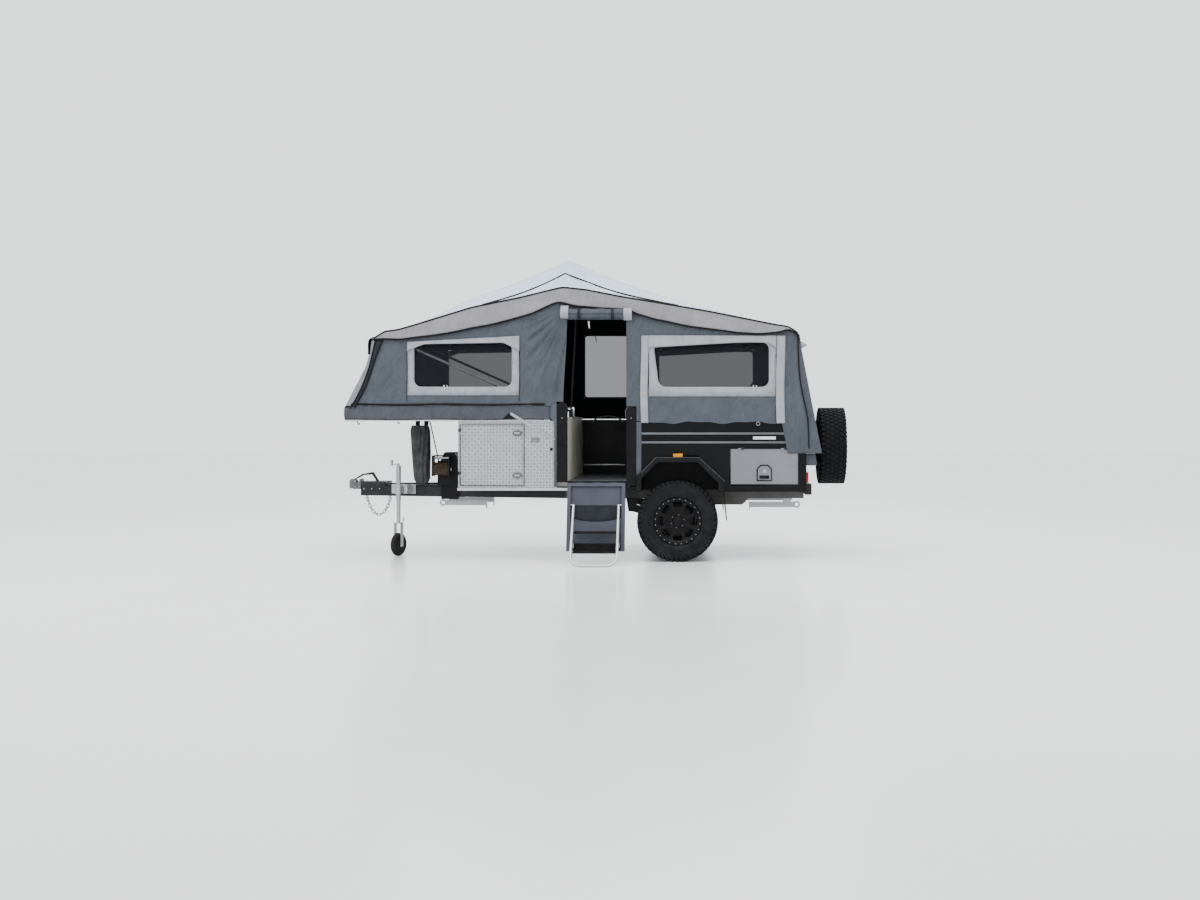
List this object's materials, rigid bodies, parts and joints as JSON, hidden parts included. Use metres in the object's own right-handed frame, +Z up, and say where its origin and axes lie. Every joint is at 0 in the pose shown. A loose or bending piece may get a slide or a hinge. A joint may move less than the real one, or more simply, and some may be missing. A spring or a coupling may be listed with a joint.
{
  "type": "forward-fold camper trailer",
  "caption": "Soft-top camper trailer with its canvas tent set up over a forward bed deck, an entry door that drops outward with a step ladder, and a lounge body behind.",
  "frame": {"origin": "centre of the coupling's ball socket", "axes": "+X rearward along the trailer, +Y to the side away from the entry door, +Z up"},
  "size_m": [5.0822, 2.3082, 3.0094],
  "materials": {
    "drawbar_paint": "satin black chassis paint",
    "chassis_paint": "satin dark chassis paint",
    "zinc_steel": "zinc plated steel",
    "body_paint": "near-black satin body paint",
    "hatch_paint": "satin grey paint",
    "door_paint": "satin blue-grey paint",
    "checker_plate": "bare patterned sheet",
    "alloy_tube": "plain drawn tube",
    "trim_grey": "moulded trim",
    "black_plastic": "textured black plastic",
    "cream_panel": "laminate panels",
    "floor_grey": "ribbed floor covering",
    "black_rim": "satin black wheel paint",
    "tyre_rubber": "tyre rubber",
    "jockey_rubber": "solid rubber tyre",
    "canvas": "slate blue-grey canvas",
    "roof_cloth": "pale coated fly cloth",
    "mesh_screen": "light grey window mesh",
    "skirt_cloth": "grey coated cloth",
    "cushion_cloth": "woven upholstery",
    "bundle_cloth": "dark coated cloth",
    "webbing": "black webbing",
    "lamp_amber": "amber lens"
  },
  "bodies": {
    "trailer": {"arch_flares": "black_plastic", "bed_deck": "alloy_tube", "bench_fronts": "cream_panel", "bench_tops": "cream_panel", "body_rear": "body_paint", "body_side_far": "body_paint", "body_sides": "body_paint", "brake_lever": "zinc_steel", "chassis_rails": "chassis_paint", "coupling": "zinc_steel", "cover_bundle": "bundle_cloth", "cross_members": "chassis_paint", "cushions": "cushion_cloth", "deck_braces": "alloy_tube", "deck_straps": "webbing", "door_hinges": "zinc_steel", "door_posts": "black_plastic", "drawbar_head": "drawbar_paint", "drawbar_rails": "drawbar_paint", "floor": "floor_grey", "interior": "cream_panel", "jockey_clamp": "zinc_steel", "lamps": "lamp_amber", "mud_flaps": "jockey_rubber", "rear_bow": "alloy_tube", "rear_frame": "drawbar_paint", "safety_chain": "zinc_steel", "side_trim": "trim_grey", "spare_rim": "black_rim", "spare_tyre": "tyre_rubber", "stabilisers": "zinc_steel", "suspension": "drawbar_paint", "tent_bows": "alloy_tube", "tent_ends": "canvas", "tent_roof": "roof_cloth", "tent_sides": "canvas", "tent_skirts": "skirt_cloth", "toolbox": "checker_plate", "wheel_tubs": "black_plastic", "winch_drum": "zinc_steel", "winch_frame": "black_plastic", "window_screens": "mesh_screen"},
    "wheel_near": {"tyre_near": "tyre_rubber", "rim_near": "black_rim"},
    "wheel_far": {"tyre_far": "tyre_rubber", "rim_far": "black_rim"},
    "jockey_swing": {"jockey_tube": "zinc_steel"},
    "jockey_lift": {"jockey_inner_tube": "zinc_steel"},
    "jockey_castor": {"jockey_fork": "zinc_steel"},
    "jockey_roll": {"jockey_wheel": "jockey_rubber"},
    "entry_door": {"entry_door": "door_paint"},
    "step_frame": {"step_frame": "alloy_tube"},
    "step_tread_upper": {"step_tread_upper": "black_plastic"},
    "step_tread_lower": {"step_tread_lower": "black_plastic"},
    "toolbox_door_near": {"toolbox_door_near": "checker_plate"},
    "toolbox_door_far": {"toolbox_door_far": "checker_plate"},
    "hatch_near": {"hatch_near": "hatch_paint"},
    "hatch_far": {"hatch_far": "hatch_paint"}
  },
  "joints": [
    {"name": "wheel_near_spin", "type": "hinge", "parent": "trailer", "child": "wheel_near", "pos_m": [3.343, -0.7975, -0.3], "axis": [0, 1, 0], "continuous": true},
    {"name": "wheel_far_spin", "type": "hinge", "parent": "trailer", "child": "wheel_far", "pos_m": [3.343, 0.7975, -0.3], "axis": [0, 1, 0], "continuous": true},
    {"name": "jockey_swing", "type": "hinge", "parent": "trailer", "child": "jockey_swing", "pos_m": [0.598, -0.2, -0.025], "axis": [-0.2238, -0.9746, 0], "range_deg": [0, 90]},
    {"name": "jockey_lift", "type": "slide", "parent": "jockey_swing", "child": "jockey_lift", "axis": [0, 0, 1], "range_m": [0, 0.2]},
    {"name": "jockey_castor", "type": "hinge", "parent": "jockey_lift", "child": "jockey_castor", "pos_m": [0.53, -0.31982, -0.357], "axis": [0, 0, 1], "continuous": true},
    {"name": "jockey_roll", "type": "hinge", "parent": "jockey_castor", "child": "jockey_roll", "pos_m": [0.53, -0.31982, -0.575], "axis": [0.9272, -0.3746, 0], "continuous": true},
    {"name": "entry_door_hinge", "type": "hinge", "parent": "trailer", "child": "entry_door", "pos_m": [2.565, -0.906, 0.068], "axis": [-1, 0, 0], "range_deg": [0, 168]},
    {"name": "step_fold", "type": "hinge", "parent": "entry_door", "child": "step_frame", "pos_m": [2.565, -0.97751, -0.13762], "axis": [1, 0, 0], "range_deg": [0, 22.7]},
    {"name": "step_upper_level", "type": "hinge", "parent": "step_frame", "child": "step_tread_upper", "pos_m": [2.565, -1.15174, -0.39], "axis": [1, 0, 0], "range_deg": [0, 55.5]},
    {"name": "step_lower_level", "type": "hinge", "parent": "step_frame", "child": "step_tread_lower", "pos_m": [2.565, -1.27254, -0.565], "axis": [1, 0, 0], "range_deg": [0, 55.5]},
    {"name": "toolbox_door_near_hinge", "type": "hinge", "parent": "trailer", "child": "toolbox_door_near", "pos_m": [1.251, -0.9075, 0.337], "axis": [0, 0, -1], "range_deg": [0, 100]},
    {"name": "toolbox_door_far_hinge", "type": "hinge", "parent": "trailer", "child": "toolbox_door_far", "pos_m": [1.251, 0.9075, 0.337], "axis": [0, 0, 1], "range_deg": [0, 100]},
    {"name": "hatch_near_hinge", "type": "hinge", "parent": "trailer", "child": "hatch_near", "pos_m": [4.177, -0.9075, 0.398], "axis": [-1, 0, 0], "range_deg": [0, 90]},
    {"name": "hatch_far_hinge", "type": "hinge", "parent": "trailer", "child": "hatch_far", "pos_m": [4.177, 0.9075, 0.398], "axis": [1, 0, 0], "range_deg": [0, 90]}
  ],
  "couplings": [
    {"joint": "step_fold", "follows": "entry_door_hinge", "ratio": 0.13464},
    {"joint": "step_upper_level", "follows": "entry_door_hinge", "ratio": 0.32965},
    {"joint": "step_lower_level", "follows": "entry_door_hinge", "ratio": 0.32965}
  ]
}
